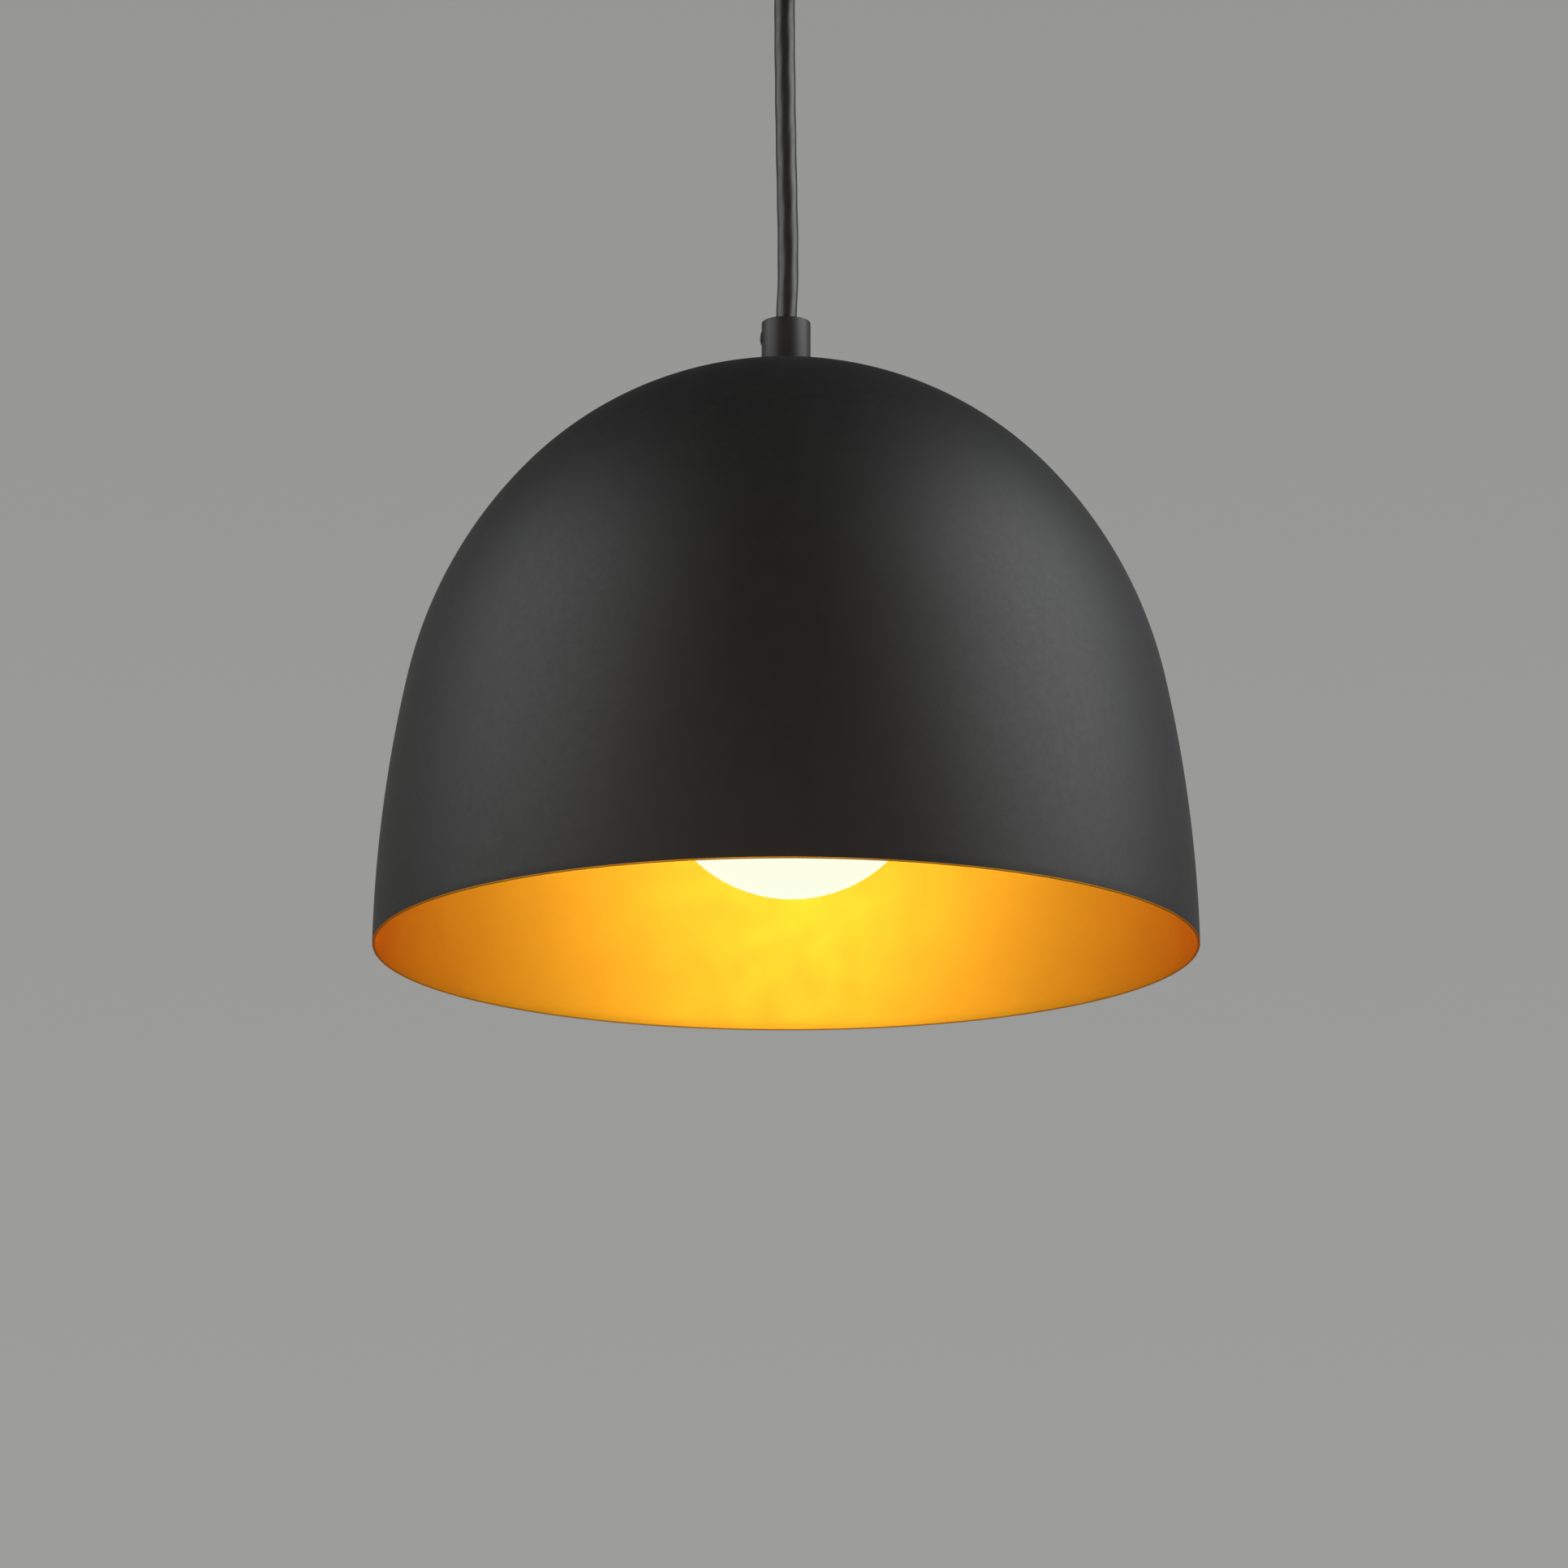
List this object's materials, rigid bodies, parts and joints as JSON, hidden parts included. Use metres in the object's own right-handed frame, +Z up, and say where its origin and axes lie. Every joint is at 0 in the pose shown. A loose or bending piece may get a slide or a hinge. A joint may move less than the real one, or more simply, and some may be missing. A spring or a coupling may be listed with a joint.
{
  "type": "pendant ceiling light",
  "caption": "Dome pendant light: black metal shade with a gold inside, on a round cord with cord grips, ceiling canopy, screw lampholder and opal globe bulb.",
  "frame": {"origin": "middle of the ceiling face of the crossbar and canopy", "axes": "+Z up into the ceiling, +X to the right as seen from the front, with the crossbar along X and the collar screw on the -X side"},
  "size_m": [0.235, 0.235, 0.3351],
  "materials": {
    "shade_black": "matt black powder coat outside, warm gold inside",
    "fitting_black": "satin black",
    "zinc": "zinc plated",
    "brass": "bright",
    "nickel": "nickel plated",
    "cord_black": "smooth, slightly glossy sheath",
    "lead_black": "smooth",
    "lead_white": "smooth",
    "lead_green": "smooth",
    "porcelain": "white glaze",
    "connector": "ribbed",
    "green_screw": "green",
    "opal_glass": "opal white, lit",
    "clear_glass": "clear",
    "black_glass": "black glass",
    "tungsten": "dull"
  },
  "bodies": {
    "canopy": {"mounting_strap": "zinc", "ground_screw": "green_screw", "canopy_studs": "zinc", "stud_locknuts": "zinc", "canopy_nuts": "fitting_black", "canopy": "fitting_black", "canopy_nipple": "zinc", "canopy_lock_washer": "zinc", "canopy_hex_nut": "zinc", "canopy_grip": "fitting_black", "canopy_grip_screw": "fitting_black", "wire_connectors": "connector", "ceiling_hot_lead": "lead_black", "ceiling_neutral_lead": "lead_white", "ceiling_ground_lead": "lead_green", "cord_ceiling_end": "cord_black"},
    "cord": {"cord": "cord_black"},
    "lamp": {"cord_collar": "fitting_black", "collar_screw": "fitting_black", "cord_lamp_end": "cord_black", "shade_nipple": "zinc", "shade": "shade_black", "shade_washer": "zinc", "shade_lock_washer": "zinc", "shade_nut": "zinc", "cap_washer": "zinc", "socket_cap": "fitting_black", "ground_ring": "brass", "cap_nut": "zinc", "socket_body": "porcelain", "terminal_screws": "brass", "screw_shell": "brass", "centre_contact": "brass", "lamp_hot_lead": "lead_black", "lamp_neutral_lead": "lead_white", "lamp_ground_lead": "lead_green"},
    "bulb": {"bulb_envelope": "opal_glass", "bulb_base_shell": "nickel", "bulb_insulator": "black_glass", "bulb_contact": "nickel", "bulb_stem": "clear_glass", "bulb_support_wires": "tungsten", "bulb_filament": "tungsten"}
  },
  "joints": [
    {"name": "cord_swing", "type": "hinge", "parent": "canopy", "child": "cord", "pos_m": [0, 0, -0.04], "axis": [0, 1, 0], "range_deg": [-30, 30]},
    {"name": "lamp_tilt", "type": "hinge", "parent": "cord", "child": "lamp", "pos_m": [0, 0, -0.15], "axis": [1, 0, 0], "range_deg": [-25, 25]},
    {"name": "bulb_out", "type": "slide", "parent": "lamp", "child": "bulb", "axis": [0.0262, 0, -0.9997], "range_m": [0, 0.032]}
  ]
}
